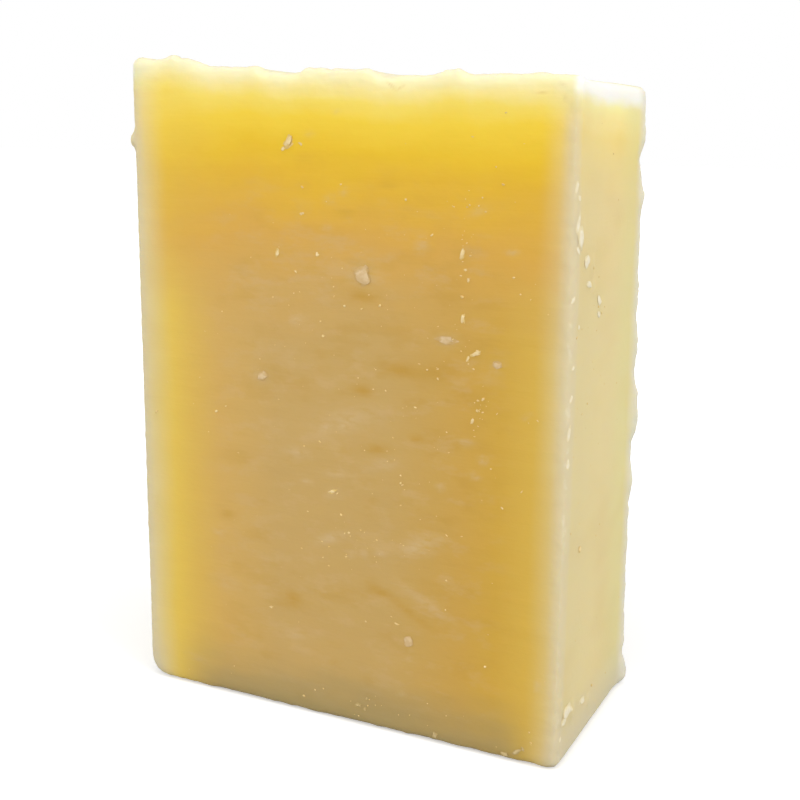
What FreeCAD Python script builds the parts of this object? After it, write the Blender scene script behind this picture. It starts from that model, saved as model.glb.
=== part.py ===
import FreeCAD, Part

import math
import os
from dataclasses import dataclass

# A hand-cut shampoo bar: one solid slice of a poured loaf, standing on its short end.
#
# The loaf's cross-section is the bar's broad face. Its left, right and foot sides lay
# against the mould and are plain. Its head is the poured top, trimmed by hand on a slant,
# which left a ragged crest along the front rim. The front and the back are cut faces.
# The blade tore the soap where it left the loaf, so the rear rim of the right side is
# ragged as well. Every edge is softened by handling, one foot corner is worn away, and
# crumbs of soap from the cutting are stuck to the front and the right side.
#
# Frame, in millimetres: the origin is the middle of the foot. +X runs along the width,
# +Y from the front cut face to the back cut face, and +Z from the foot to the head.

Vector = FreeCAD.Vector

# The slice
WIDTH = 57.2  # across the broad face at the foot, left wall to right wall
THICKNESS = 27.3  # front cut face to back cut face
HEAD_HEIGHT = 77.9  # foot to the front rim of the trimmed head, at mid width
LEFT_LEAN = 0.02  # the left wall stands this much further in at the head
RIGHT_LEAN = 0.5  # the right wall this much, at the front
RIGHT_LEAN_BACK = 1.0  # and this much at the back

# The slant of the trimmed head
SIDE_FALL = 1.25  # the head drops this much from the left wall to the right wall
BACK_FALL = 0.15  # and this much from the front rim to the back rim, ever more steeply

# Ragged rims
TEAR_DEPTH = 4.0  # a ragged rim fades into its plain surface over this distance
TEAR_SHOULDER = 2.2  # a tear reaches its full rise over this distance from each end
GRAIN_HEIGHT = 0.06  # fine unevenness all along a ragged rim
GRAIN_PITCH = 6.5  # from one crest of it to the next, before its finer part is added
SHEET_STEP = 2.4  # spacing of the points that a ragged surface is drawn through
TRIM_ALLOWANCE = 3.0  # the raw slice is this much oversize where it is trimmed

# Softened edges
FRONT_RIM_RADIUS = 0.9  # round the front cut face, which has been handled more
BACK_RIM_BREAK = 0.4  # round the back cut face, a narrow flat where the blade broke out
HEAD_RADIUS = 0.9  # the head's left and right edges
FOOT_RADIUS = 1.3  # the foot's right edge
WORN_RADIUS = 2.9  # the foot's left edge, at its worn front corner
WORN_RADIUS_BACK = 1.5  # the same edge at the back

# Crumbs
CRUMB_SIDES = 6  # a crumb is an angular flake with this many sides
CRUMB_UNEVEN = 0.18  # share by which its corners stand in or out of an ellipse
CRUMB_TOP = 0.55  # its top is this share of its base
CRUMB_RISE = 0.35  # and stands out of the face by this share of its breadth
CRUMB_BED = 0.5  # its base lies this far inside the bar

PLANE_SLACK = 0.01  # an edge this near to a plane lies in it
SOLID_NODE = "soap_bar"
OUT_FOLDER = "parts"


@dataclass(frozen=True)
class Tear:
    """A stretch of a ragged rim that stands out, or lies in where rise is negative."""

    start: float  # as a share of the rim's length
    end: float
    rise: float  # how far it stands out of the plain rim


@dataclass(frozen=True)
class Crumb:
    """A crumb of soap stuck to a face."""

    across: float  # its place, as a share of the face's width from its left
    up: float  # and as a share of the face's height from the foot
    length: float
    breadth: float
    turn: float  # degrees from level, anticlockwise as the face is seen


# From the left wall to the right wall
CREST_TEARS = (
    Tear(-0.10, 0.185, 1.05),
    Tear(-0.10, 0.352, 0.70),
    Tear(0.065, 0.142, 0.60),
    Tear(0.270, 0.345, 0.30),
    Tear(0.395, 0.600, 0.75),
    Tear(0.708, 0.785, 1.00),
    Tear(0.780, 1.100, 0.45),
)
# From the foot to the head
RIGHT_RIM_TEARS = (
    Tear(0.005, 0.065, 0.55),
    Tear(0.340, 0.400, 0.35),
    Tear(0.425, 0.530, 0.75),
    Tear(0.560, 0.620, 0.30),
    Tear(0.795, 0.850, 0.25),
    Tear(0.845, 0.900, -0.60),
    Tear(0.895, 0.950, 0.30),
)

FRONT_CRUMBS = (
    Crumb(0.38, 0.895, 1.6, 1.0, 52),
    Crumb(0.50, 0.815, 1.2, 0.7, 10),
    Crumb(0.77, 0.748, 1.1, 0.7, 70),
    Crumb(0.68, 0.760, 1.1, 0.8, 30),
    Crumb(0.555, 0.708, 2.2, 1.6, 10),
    Crumb(0.36, 0.733, 0.9, 0.6, -20),
    Crumb(0.74, 0.625, 2.5, 1.0, -4),
    Crumb(0.80, 0.608, 1.8, 0.9, 24),
    Crumb(0.85, 0.597, 1.3, 0.8, -12),
    Crumb(0.32, 0.543, 1.7, 1.2, 18),
    Crumb(0.82, 0.456, 1.0, 0.7, 40),
    Crumb(0.67, 0.157, 1.6, 1.3, 80),
)
RIGHT_CRUMBS = (
    Crumb(0.07, 0.790, 3.4, 1.0, 80),
    Crumb(0.22, 0.740, 2.0, 0.8, 88),
    Crumb(0.25, 0.707, 1.1, 0.8, 30),
    Crumb(0.36, 0.680, 0.9, 0.6, 60),
    Crumb(0.17, 0.074, 2.4, 1.6, 74),
    Crumb(0.40, 0.055, 1.6, 0.9, 85),
)

# A lump pressed into the front rim's left side
LUMP_UP = 0.900  # its place, as a share of the height from the foot
LUMP_RADIUS = 1.3
LUMP_RISE = 0.90  # how far it stands out of the left wall


def ramp(distance, reach):
    """Rises smoothly from 0 at no distance to 1 at the reach and beyond."""
    share = min(1.0, max(0.0, distance / reach))
    return 0.5 * (1 - math.cos(math.pi * share))


def grain(along):
    """Fine unevenness of a torn rim, as two waves whose pitches don't match."""
    coarse = math.sin(2 * math.pi * along / GRAIN_PITCH + 0.8)
    fine = math.sin(2 * math.pi * along / (0.62 * GRAIN_PITCH) + 2.1)
    return GRAIN_HEIGHT * (coarse + 0.7 * fine)


def torn(along, rim_length, from_rim, tears):
    """How far a ragged surface stands out at a place along its rim and back from it."""
    stands = grain(along)
    for tear in tears:
        into = ramp(along - tear.start * rim_length, TEAR_SHOULDER)
        out_of = ramp(tear.end * rim_length - along, TEAR_SHOULDER)
        stands += tear.rise * into * out_of
    return stands * (1 - ramp(from_rim, TEAR_DEPTH))


def steps(low, high):
    """Evenly spaced values from low to high, about SHEET_STEP apart."""
    count = math.ceil((high - low) / SHEET_STEP)
    return [low + (high - low) * i / count for i in range(count + 1)]


def knife(rows, away):
    """The solid that a blade of this surface removes: everything on its far side."""
    sheet = Part.BSplineSurface()
    sheet.interpolate(rows)
    return sheet.toShape().extrude(away)


def left_x(z):
    """Where the left wall stands at a height."""
    return -WIDTH / 2 + LEFT_LEAN * z / HEAD_HEIGHT


def right_x(y, z):
    """Where the right wall stands, before its rear rim was torn."""
    back = y / THICKNESS + 0.5
    lean = RIGHT_LEAN + (RIGHT_LEAN_BACK - RIGHT_LEAN) * back
    return WIDTH / 2 - lean * z / HEAD_HEIGHT


def head_z(x, y):
    """Height of the slanted head, before its crest was torn."""
    across = x / WIDTH + 0.5
    back = y / THICKNESS + 0.5
    return HEAD_HEIGHT + SIDE_FALL * (0.5 - across) - BACK_FALL * back * abs(back)


def raw_slice():
    """The slice as the two cuts leave it, oversize at the head and on the right."""
    top = HEAD_HEIGHT + SIDE_FALL + TRIM_ALLOWANCE
    right = WIDTH / 2 + TRIM_ALLOWANCE
    front = -THICKNESS / 2
    corners = [
        Vector(left_x(0), front, 0),
        Vector(right, front, 0),
        Vector(right, front, top),
        Vector(left_x(top), front, top),
    ]
    outline = Part.makePolygon(corners + corners[:1])
    return Part.Face(outline).extrude(Vector(0, THICKNESS, 0))


def head_knife():
    """Trims the head on its slant, with the ragged crest along the front rim."""
    rows = []
    for x in steps(-WIDTH / 2 - TRIM_ALLOWANCE, WIDTH / 2 + 2 * TRIM_ALLOWANCE):
        row = []
        for y in steps(-THICKNESS / 2 - SHEET_STEP, THICKNESS / 2 + SHEET_STEP):
            from_rim = max(0.0, y + THICKNESS / 2)
            stands = torn(x + WIDTH / 2, WIDTH, from_rim, CREST_TEARS)
            row.append(Vector(x, y, head_z(x, y) + stands))
        rows.append(row)
    return knife(rows, Vector(0, 0, 3 * TRIM_ALLOWANCE + SIDE_FALL))


def right_knife():
    """Trims the right side to its wall, with the torn rear rim."""
    rows = []
    for z in steps(-SHEET_STEP, HEAD_HEIGHT + SIDE_FALL + 2 * TRIM_ALLOWANCE):
        row = []
        for y in steps(-THICKNESS / 2 - SHEET_STEP, THICKNESS / 2 + SHEET_STEP):
            from_rim = max(0.0, THICKNESS / 2 - y)
            stands = torn(z, HEAD_HEIGHT, from_rim, RIGHT_RIM_TEARS)
            row.append(Vector(right_x(y, z) + stands, y, z))
        rows.append(row)
    return knife(rows, Vector(3 * TRIM_ALLOWANCE, 0, 0))


def long_edge(bar, place):
    """Of the edges that run from the front to the back, the one nearest to a place."""
    running_back = []
    for edge in bar.Edges:
        if abs(edge.Vertexes[0].Y - edge.Vertexes[-1].Y) > THICKNESS / 2:
            running_back.append(edge)
    return min(running_back, key=lambda edge: edge.CenterOfMass.distanceToPoint(place))


def soften_long_edges(bar):
    """Rounds the four edges that run from the front to the back."""
    half = WIDTH / 2
    head = [long_edge(bar, Vector(side * half, 0, HEAD_HEIGHT)) for side in (-1, 1)]
    bar = bar.makeFillet(HEAD_RADIUS, head)
    bar = bar.makeFillet(FOOT_RADIUS, [long_edge(bar, Vector(half, 0, 0))])
    worn = long_edge(bar, Vector(-half, 0, 0))
    radii = [WORN_RADIUS, WORN_RADIUS_BACK]
    if worn.valueAt(worn.FirstParameter).y > 0:
        radii.reverse()
    return bar.makeFillet(*radii, [worn])


def rim_edges(bar, rim_y):
    """The edges round the cut face that lies at rim_y."""
    rim = []
    for edge in bar.Edges:
        box = edge.BoundBox
        if max(abs(box.YMin - rim_y), abs(box.YMax - rim_y)) < PLANE_SLACK:
            rim.append(edge)
    return rim


def crumb_outline(crumb, share, y):
    """The corners of a crumb's uneven outline at one depth, the first repeated at the end."""
    corners = []
    for i in range(CRUMB_SIDES):
        angle = 2 * math.pi * i / CRUMB_SIDES
        out = share * (1 + CRUMB_UNEVEN * math.sin(2.3 * angle + crumb.turn))
        x = 0.5 * crumb.length * out * math.cos(angle)
        z = 0.5 * crumb.breadth * out * math.sin(angle)
        corners.append(Vector(x, y, z))
    return corners + corners[:1]


def crumb_solid(crumb):
    """A crumb at the origin, lying on a wall that faces -Y."""
    base = crumb_outline(crumb, 1.0, CRUMB_BED)
    top = crumb_outline(crumb, CRUMB_TOP, -CRUMB_RISE * crumb.breadth)
    outlines = [base, top]
    for i in range(CRUMB_SIDES):
        outlines.append([base[i], base[i + 1], top[i + 1], top[i], base[i]])
    faces = [Part.Face(Part.makePolygon(outline)) for outline in outlines]
    solid = Part.Solid(Part.makeShell(faces))
    solid.rotate(Vector(0, 0, 0), Vector(0, -1, 0), crumb.turn)
    return solid


def front_crumb(crumb):
    """A crumb on the front cut face."""
    solid = crumb_solid(crumb)
    x = (crumb.across - 0.5) * WIDTH
    solid.translate(Vector(x, -THICKNESS / 2, crumb.up * HEAD_HEIGHT))
    return solid


def right_crumb(crumb):
    """A crumb on the right side, whose left as it is seen is the front rim."""
    solid = crumb_solid(crumb)
    solid.rotate(Vector(0, 0, 0), Vector(0, 0, 1), 90)
    y = (crumb.across - 0.5) * THICKNESS
    z = crumb.up * HEAD_HEIGHT
    solid.translate(Vector(right_x(y, z), y, z))
    return solid


def rim_lump():
    """The lump on the front rim's left side."""
    z = LUMP_UP * HEAD_HEIGHT
    x = left_x(z) + LUMP_RADIUS - LUMP_RISE
    return Part.makeSphere(LUMP_RADIUS, Vector(x, LUMP_RADIUS - THICKNESS / 2, z))


def soap_bar():
    """The whole bar, as one solid."""
    bar = raw_slice().cut(head_knife()).cut(right_knife())
    bar = soften_long_edges(bar)
    bar = bar.makeFillet(FRONT_RIM_RADIUS, rim_edges(bar, -THICKNESS / 2))
    bar = bar.makeChamfer(BACK_RIM_BREAK, rim_edges(bar, THICKNESS / 2))
    crumbs = [front_crumb(crumb) for crumb in FRONT_CRUMBS]
    crumbs += [right_crumb(crumb) for crumb in RIGHT_CRUMBS]
    return bar.fuse(crumbs + [rim_lump()]).Solids[0]


def main():
    """Builds the bar, writes its STEP file and says what was made."""
    os.makedirs(OUT_FOLDER, exist_ok=True)
    bar = soap_bar()
    bar.exportStep(os.path.join(OUT_FOLDER, SOLID_NODE + ".step"))
    litres = bar.Volume / 1e6
    print(f"{SOLID_NODE}: {len(bar.Faces)} faces, valid {bar.isValid()}, {litres:.4f} l")


if __name__ == "__main__":
    main()
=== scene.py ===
"""Dresses the shampoo bar: a hand-cut slice of yellow soap with a ragged crest and crumbs stuck to it.

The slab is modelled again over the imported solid, because its faces are worn, dragged and torn more
finely than a solid can hold. The crumbs and specks that lie on it are pieces of their own.
"""

import logging
import math
import random
from dataclasses import dataclass, field
from enum import Enum
from functools import reduce

import bpy
from mathutils import Euler, Matrix, Vector, noise
from mathutils.bvhtree import BVHTree


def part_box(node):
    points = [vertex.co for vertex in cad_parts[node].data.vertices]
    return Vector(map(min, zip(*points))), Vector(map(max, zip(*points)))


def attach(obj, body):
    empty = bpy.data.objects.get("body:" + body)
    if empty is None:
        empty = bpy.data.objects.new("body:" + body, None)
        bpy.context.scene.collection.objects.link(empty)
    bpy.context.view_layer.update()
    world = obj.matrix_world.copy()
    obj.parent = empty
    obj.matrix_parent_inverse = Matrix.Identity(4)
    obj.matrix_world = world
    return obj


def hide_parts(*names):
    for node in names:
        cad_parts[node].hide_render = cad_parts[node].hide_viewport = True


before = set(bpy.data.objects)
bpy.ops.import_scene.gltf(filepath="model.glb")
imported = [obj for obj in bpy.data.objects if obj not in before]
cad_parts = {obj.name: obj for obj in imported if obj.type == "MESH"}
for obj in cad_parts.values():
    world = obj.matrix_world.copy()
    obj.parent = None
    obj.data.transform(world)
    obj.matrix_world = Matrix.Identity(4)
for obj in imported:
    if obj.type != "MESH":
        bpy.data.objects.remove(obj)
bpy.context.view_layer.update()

MM = 0.001
SOLID = "soap_bar"
BODY = "root"
CREST_DEPTH = "crest_depth"  # on the slab: millimetres below its crest
HEART = "heart"  # on a crumb: 1 in its middle, 0 at its rim
LAGS = (Vector((9.3, -1.5, -8.0)), Vector((-4.1, 6.7, 2.9)), Vector((3.8, 7.7, -5.2)))  # one per way to stray
SOAP_IOR = 1.46
WHITE = (1.0, 1.0, 1.0, 1.0)
MARK_FADE = 1.6  # how quickly one of the blade's marks fades towards its ends
LUMPS, GRAINS = 2.1, 5.3  # how many of each there are along a crumb
GRAIN_SHARE = 0.4  # how high a grain is beside a lump
SWAY = 0.8  # how far a lump moves a fully ragged surface
BACK_ROOM = 0.15 * MM  # by which the back face stays inside the solid, so that its specks do too

log = logging.getLogger("shampoo_bar")

Colour = tuple[float, float, float, float]
Pair = tuple[float, float]
Triple = tuple[float, float, float]
Stops = tuple[tuple[float, Colour], ...]
Socket = bpy.types.NodeSocket
Sockets = dict[str | int, object]
Piece = bpy.types.Object


class Tint(Enum):
    """What the blade left on the cut: a mark's tint, and the name of the attribute that holds it."""

    DRAG = "drag_marks"
    AMBER = "amber_patches"


def srgb(red: int, green: int, blue: int) -> Colour:
    """Turns a colour written as 0 to 255 into the linear one that a shader takes.

    Args:
        red: the red part.
        green: the green part.
        blue: the blue part.

    Returns:
        Linear red, green, blue and an alpha of 1.
    """
    parts = []
    for value in (red, green, blue):
        share = value / 255
        parts.append(share / 12.92 if share <= 0.04045 else ((share + 0.055) / 1.055) ** 2.4)
    return (parts[0], parts[1], parts[2], 1.0)


def stops(*rows: tuple[float, int, int, int]) -> Stops:
    """Makes the stops of a ramp from rows of a place in millimetres and a colour written as 0 to 255."""
    return tuple((place, srgb(*colour)) for place, *colour in rows)


def smooth(value: float, low: float, high: float) -> float:
    """Rises smoothly from 0 at low to 1 at high, or falls where high is the smaller one."""
    share = min(1.0, max(0.0, (value - low) / (high - low)))
    return share * share * (3 - 2 * share)


def off_edge(first: float, second: float) -> float:
    """How far a place is from the edge of two faces, given how far it lies inside each."""
    return math.hypot(max(0.0, first), max(0.0, second))


def pick_only(*pieces: Piece) -> None:
    """Selects these pieces alone and makes the first of them active.

    Args:
        pieces: the pieces.
    """
    bpy.ops.object.select_all(action="DESELECT")
    for piece in pieces:
        piece.select_set(True)
    bpy.context.view_layer.objects.active = pieces[0]


def apply_modifier(piece: Piece, modifier: bpy.types.Modifier) -> None:
    """Applies one modifier to its piece."""
    pick_only(piece)
    bpy.ops.object.modifier_apply(modifier=modifier.name)


def add_object(name: str, data: bpy.types.ID | None) -> Piece:
    """Adds an object to the scene.

    Args:
        name: its name.
        data: its mesh, lamp or camera, if it has one.

    Returns:
        The new object, at the origin.
    """
    thing = bpy.data.objects.new(name, data)
    bpy.context.scene.collection.objects.link(thing)
    return thing


def stand_off(
    thing: Piece, aim: Vector, azimuth: float, elevation: float, distance: float, roll: float = 0.0,
) -> None:
    """Stands a camera or a lamp off from a point, and turns it to face that point.

    Args:
        thing: the camera or the lamp.
        aim: the point.
        azimuth: degrees from the front, towards the right.
        elevation: degrees above level.
        distance: how far off it stands, in metres.
        roll: degrees that it is turned about its line of sight.
    """
    turn = Euler((math.radians(90 - elevation), 0, math.radians(azimuth)), "XYZ").to_matrix()
    turn = turn @ Matrix.Rotation(math.radians(roll), 3, "Z")
    thing.location = aim + turn @ Vector((0, 0, distance))
    thing.rotation_euler = turn.to_euler()


def keep_inside(piece: Piece) -> None:
    """Holds every point of a piece inside the solid's box, and so above the ground.

    Args:
        piece: the piece.
    """
    low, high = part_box(SOLID)
    for vertex in piece.data.vertices:
        for axis in range(3):
            vertex.co[axis] = min(high[axis], max(low[axis], vertex.co[axis]))


# ---- the form underneath


@dataclass(frozen=True)
class SlabForm:
    """Where the plain faces of the slab lie, in metres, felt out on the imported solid."""

    left: float
    front: float
    back: float
    right_foot: float
    right_lean: float  # how far the right wall comes in for each metre of height
    head: float  # height of the trimmed head at mid width
    head_slope: float  # how far it falls for each metre towards the right

    def right(self, z: float) -> float:
        """Where the right wall stands at a height."""
        return self.right_foot - self.right_lean * z

    def head_at(self, x: float) -> float:
        """Height of the trimmed head, before its crest was torn."""
        return self.head - self.head_slope * x

    def to_side(self, point: Vector) -> float:
        """How far inside the nearer of the left and right walls a point lies."""
        return min(point.x - self.left, self.right(point.z) - point.x)

    def to_cut(self, point: Vector) -> float:
        """How far inside the nearer of the two cut faces a point lies."""
        return min(point.y - self.front, self.back - point.y)

    def at(self, across: float, up: float) -> Pair:
        """The x and z of a place on the front, given as shares of its width and height."""
        return self.left + across * (self.right(0) - self.left), up * self.head

    def along(self, back: float, up: float) -> Pair:
        """The y and z of a place on a side, given as shares from the front and the foot."""
        return self.front + back * (self.back - self.front), up * self.head

    @staticmethod
    def felt_on(solid: Piece) -> "SlabForm":
        """Feels out the faces with straight probes, at places that hold no crumb.

        Args:
            solid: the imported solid.

        Returns:
            The slab's form.
        """
        low, high = (Vector(corner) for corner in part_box(solid.name))
        size = high - low
        mid = (low + high) / 2

        def probe(start: Triple, way: Triple) -> Vector:
            hit, place, _, _ = solid.ray_cast(Vector(start), Vector(way))
            if not hit:
                raise RuntimeError("a probe missed the solid")
            return place

        low_z, high_z = low.z + 0.2 * size.z, low.z + 0.88 * size.z
        right_low = probe((high.x + size.x, mid.y, low_z), (-1, 0, 0)).x
        right_high = probe((high.x + size.x, mid.y, high_z), (-1, 0, 0)).x
        lean = (right_low - right_high) / (high_z - low_z)
        inner = 0.3 * size.x
        head_left = probe((-inner, mid.y + 0.1 * size.y, high.z + size.z), (0, 0, -1)).z
        head_right = probe((inner, mid.y + 0.1 * size.y, high.z + size.z), (0, 0, -1)).z
        return SlabForm(
            left=probe((low.x - size.x, mid.y, mid.z), (1, 0, 0)).x,
            front=probe((-inner, low.y - size.y, low_z), (0, 1, 0)).y,
            back=probe((-inner, high.y + size.y, low_z), (0, -1, 0)).y,
            right_foot=right_low + lean * (low_z - low.z),
            right_lean=lean,
            head=(head_left + head_right) / 2,
            head_slope=(head_left - head_right) / (2 * inner),
        )


# ---- materials


class Graph:
    """The nodes of a material or of the world, with short ways to add and link them."""

    def __init__(self, owner: bpy.types.Material | bpy.types.World) -> None:
        """Starts with no nodes."""
        self.owner = owner
        owner.use_nodes = True
        self.tree = owner.node_tree
        self.tree.nodes.clear()

    def add(self, kind: str, sockets: Sockets | None = None, **settings: object) -> bpy.types.Node:
        """Adds a node.

        Args:
            kind: Blender's name of the node.
            sockets: for its inputs, by name or number, another node's output or a plain value.
            settings: its properties.

        Returns:
            The node.
        """
        node = self.tree.nodes.new(kind)
        for key, value in settings.items():
            setattr(node, key, value)
        for key, source in (sockets or {}).items():
            if isinstance(source, Socket):
                self.tree.links.new(source, node.inputs[key])
            else:
                node.inputs[key].default_value = source
        return node

    def math(self, operation: str, *sources: object, clamp: bool = False) -> Socket:
        """Adds a math node, whose result may be clamped between 0 and 1."""
        sockets = dict(enumerate(sources))
        return self.add("ShaderNodeMath", sockets, operation=operation, use_clamp=clamp).outputs[0]

    def join(self, operation: str, *sources: object) -> Socket:
        """Joins two numbers or more by one math operation."""
        return reduce(lambda first, second: self.math(operation, first, second), sources)

    def times(self, *factors: object) -> Socket:
        """Multiplies two numbers or more."""
        return self.join("MULTIPLY", *factors)

    def reach(self, first: Socket, second: Socket) -> Socket:
        """How far a place is, given how far it is each of two ways."""
        return self.math("SQRT", self.math("ADD", self.times(first, first), self.times(second, second)))

    def line(self, value: object, slope: object, start: object) -> Socket:
        """A straight line: the value times a slope, added to a start."""
        return self.math("MULTIPLY_ADD", value, slope, start)

    def rise(self, value: object, low: float, high: float) -> Socket:
        """Rises smoothly from 0 at low to 1 at high."""
        sockets = dict(enumerate((value, low, high, 0.0, 1.0)))
        return self.add("ShaderNodeMapRange", sockets, interpolation_type="SMOOTHSTEP").outputs[0]

    def fall(self, value: object, low: float, high: float) -> Socket:
        """Falls smoothly from 1 at low to 0 at high."""
        return self.math("SUBTRACT", 1.0, self.rise(value, low, high))

    def uneven(self, distance: Socket, grain: Socket, share: float, shift: float) -> Socket:
        """Makes a distance waver with a grain, by a share of itself and by a shift in millimetres."""
        centred = self.math("SUBTRACT", grain, 0.5)
        return self.line(centred, 2 * shift, self.times(distance, self.line(centred, 2 * share, 1.0)))

    def place(self) -> Socket:
        """Reads the place on the object, in millimetres."""
        sockets = {"Vector": self.add("ShaderNodeTexCoord").outputs["Object"], "Scale": 1 / MM}
        return self.add("ShaderNodeVectorMath", sockets, operation="SCALE").outputs["Vector"]

    def split(self, vector: Socket) -> tuple[Socket, ...]:
        """Takes a vector apart."""
        return tuple(self.add("ShaderNodeSeparateXYZ", {"Vector": vector}).outputs)

    def grain(
        self, place: Socket, size: Triple, shift: float = 0.0, detail: float = 2.0, roughness: float = 0.5,
    ) -> Socket:
        """Adds noise whose patches have a given size each way.

        Args:
            place: where on the object, in millimetres.
            size: length of a patch along X, Y and Z, in millimetres.
            shift: moves the pattern, so that two of one size differ.
            detail: how many finer layers it has.
            roughness: how strong those are.

        Returns:
            Noise from 0 to 1.
        """
        scale, lag = [1 / length for length in size], (shift, 1.7 * shift, -0.6 * shift)
        patch = self.add("ShaderNodeMapping", {"Vector": place, "Scale": scale, "Location": lag}).outputs[0]
        sockets = {"Vector": patch, "Scale": 1.0, "Detail": detail, "Roughness": roughness}
        return self.add("ShaderNodeTexNoise", sockets).outputs["Fac"]

    def ramp(self, amount: object, colours: Stops) -> Socket:
        """Adds a colour ramp.

        Args:
            amount: the place along the ramp, in the units of its stops.
            colours: each stop's place and colour, in order from 0.

        Returns:
            The colour at that place.
        """
        span = colours[-1][0]
        node = self.add("ShaderNodeValToRGB", {"Fac": self.math("DIVIDE", amount, span, clamp=True)})
        band = node.color_ramp
        while len(band.elements) < len(colours):
            band.elements.new(1.0)
        for element, (position, colour) in zip(band.elements, colours):
            element.position = position / span
            element.color = colour
        return node.outputs["Color"]

    def attribute(self, name: str) -> Socket:
        """Reads a number that the mesh holds at each point."""
        return self.add("ShaderNodeAttribute", attribute_name=name).outputs["Fac"]

    def mix(self, amount: object, first: object, second: object) -> Socket:
        """Mixes two colours by the share of the second."""
        return self.add("ShaderNodeMix", {0: amount, 6: first, 7: second}, data_type="RGBA").outputs[2]

    def lay(self, colour: object, over: Colour, *amounts: object) -> Socket:
        """Lays a second colour over one, by the product of some shares."""
        return self.mix(self.times(*amounts), colour, over)

    def soap(self, height: Socket, depth: float, strength: float, sockets: Sockets) -> bpy.types.Node:
        """Adds the shader that all the soap here has in common.

        Args:
            height: its fine unevenness.
            depth: how deep that is, in millimetres.
            strength: and how strongly it shows.
            sockets: what the shader's inputs get besides.

        Returns:
            The shader's node.
        """
        bump = self.add("ShaderNodeBump", {"Strength": strength, "Distance": depth * MM, "Height": height})
        sockets = {"IOR": SOAP_IOR, "Normal": bump.outputs["Normal"], **sockets}
        return self.add("ShaderNodeBsdfPrincipled", sockets)

    def finish(self, shader: bpy.types.Node, kind: str = "ShaderNodeOutputMaterial") -> bpy.types.ID:
        """Links a shader to the output, and returns what the nodes belong to."""
        self.add(kind, {"Surface": shader.outputs[0]})
        return self.owner


@dataclass(frozen=True)
class Spot:
    """A place on the slab, as its finish reads it. All its measures are in millimetres."""

    g: Graph
    place: Socket
    x: Socket
    y: Socket
    z: Socket
    from_left: Socket  # distance inside the left wall
    from_right: Socket
    side: Socket  # distance inside the nearer of the two
    from_front: Socket
    from_back: Socket
    below: Socket  # depth below the torn crest

    @staticmethod
    def on(form: SlabForm, g: Graph) -> "Spot":
        """Measures a place on the slab.

        Args:
            form: where the slab's faces lie.
            g: the nodes that measure it.

        Returns:
            The place and its measures.
        """
        place = g.place()
        x, y, z = g.split(place)
        from_left = g.math("SUBTRACT", x, form.left / MM)
        from_right = g.math("SUBTRACT", g.line(z, -form.right_lean, form.right_foot / MM), x)
        below = g.uneven(g.attribute(CREST_DEPTH), g.grain(place, (15, 18, 6), 7.0), 0.18, 0.3)
        below = g.uneven(below, g.grain(place, (2.4, 6.0, 1.6), 9.0, 2.0), 0.04, 0.30)
        return Spot(
            g, place, x, y, z, from_left, from_right,
            side=g.math("MINIMUM", from_left, from_right),
            from_front=g.math("SUBTRACT", y, form.front / MM),
            from_back=g.math("SUBTRACT", form.back / MM, y),
            below=g.math("MAXIMUM", below, 0.0),
        )


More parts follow.
